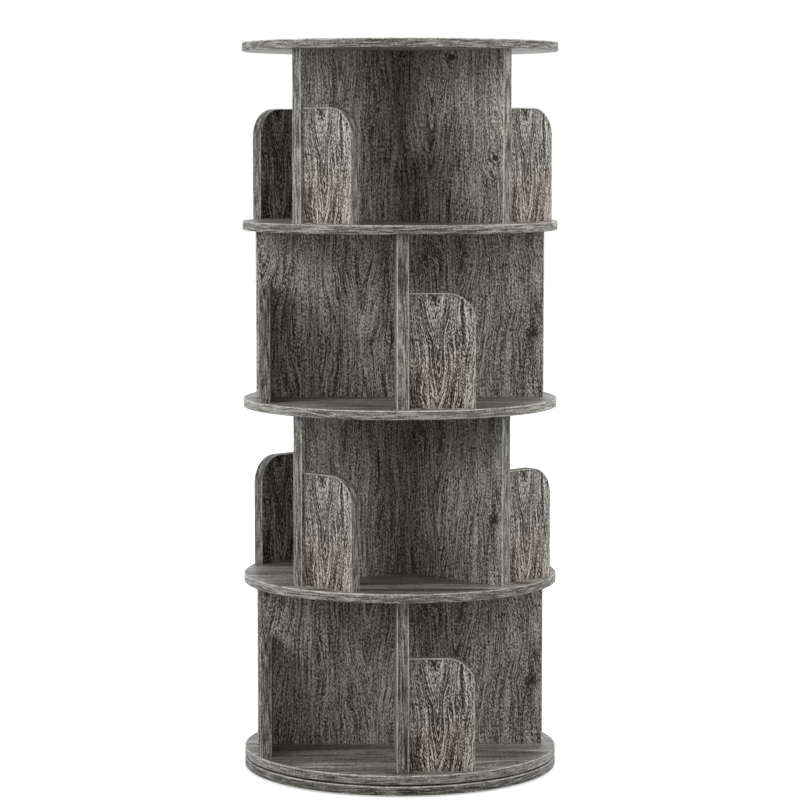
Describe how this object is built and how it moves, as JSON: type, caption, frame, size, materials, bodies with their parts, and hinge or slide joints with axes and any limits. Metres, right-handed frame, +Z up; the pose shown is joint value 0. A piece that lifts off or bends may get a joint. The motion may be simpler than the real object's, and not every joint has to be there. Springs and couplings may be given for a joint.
{
  "type": "revolving bookcase",
  "caption": "Floor-standing round bookcase: tiers of disc shelves crossed by upright dividers with rounded book stops, turning as one on a ball bearing over a round base plate.",
  "frame": {"origin": "on the floor, on the axis that the bookcase turns about", "axes": "+Z up along the turning axis, -Y to the front that the picture shows, +X to the right"},
  "size_m": [0.4599, 0.46, 1.065],
  "materials": {
    "shelf_board": "satin laminate",
    "divider_board": "satin laminate",
    "stop_board": "satin laminate",
    "base_board": "satin laminate",
    "foot_pad": "matt",
    "race": "turned",
    "steel": "zinc plated",
    "ball_steel": "polished",
    "retainer": "moulded",
    "dowel": "raw beech"
  },
  "bodies": {
    "base": {"base_plate": "base_board", "foot_pads": "foot_pad", "outer_race": "race", "outer_race_screws": "steel"},
    "ball_set": {"bearing_balls": "ball_steel", "ball_retainer": "retainer"},
    "bookcase": {"inner_race": "race", "inner_race_screws": "steel", "bottom_shelf": "shelf_board", "shelf_2": "shelf_board", "shelf_3": "shelf_board", "shelf_4": "shelf_board", "top_board": "shelf_board", "divider_1_1": "divider_board", "divider_1_2": "divider_board", "divider_1_3": "divider_board", "divider_1_4": "divider_board", "divider_2_1": "divider_board", "divider_2_2": "divider_board", "divider_2_3": "divider_board", "divider_2_4": "divider_board", "divider_3_1": "divider_board", "divider_3_2": "divider_board", "divider_3_3": "divider_board", "divider_3_4": "divider_board", "divider_4_1": "divider_board", "divider_4_2": "divider_board", "divider_4_3": "divider_board", "divider_4_4": "divider_board", "book_stop_1_1": "stop_board", "book_stop_1_2": "stop_board", "book_stop_1_3": "stop_board", "book_stop_1_4": "stop_board", "book_stop_2_1": "stop_board", "book_stop_2_2": "stop_board", "book_stop_2_3": "stop_board", "book_stop_2_4": "stop_board", "book_stop_3_1": "stop_board", "book_stop_3_2": "stop_board", "book_stop_3_3": "stop_board", "book_stop_3_4": "stop_board", "book_stop_4_1": "stop_board", "book_stop_4_2": "stop_board", "book_stop_4_3": "stop_board", "book_stop_4_4": "stop_board", "divider_screws": "steel", "divider_dowels": "dowel", "stop_dowels": "dowel"}
  },
  "joints": [
    {"name": "swivel", "type": "hinge", "parent": "base", "child": "bookcase", "pos_m": [0, 0, 0.01675], "axis": [0, 0, 1], "continuous": true},
    {"name": "ball_set_turn", "type": "hinge", "parent": "base", "child": "ball_set", "pos_m": [0, 0, 0.01675], "axis": [0, 0, 1], "continuous": true}
  ],
  "couplings": [
    {"joint": "ball_set_turn", "follows": "swivel", "ratio": 0.4896}
  ]
}
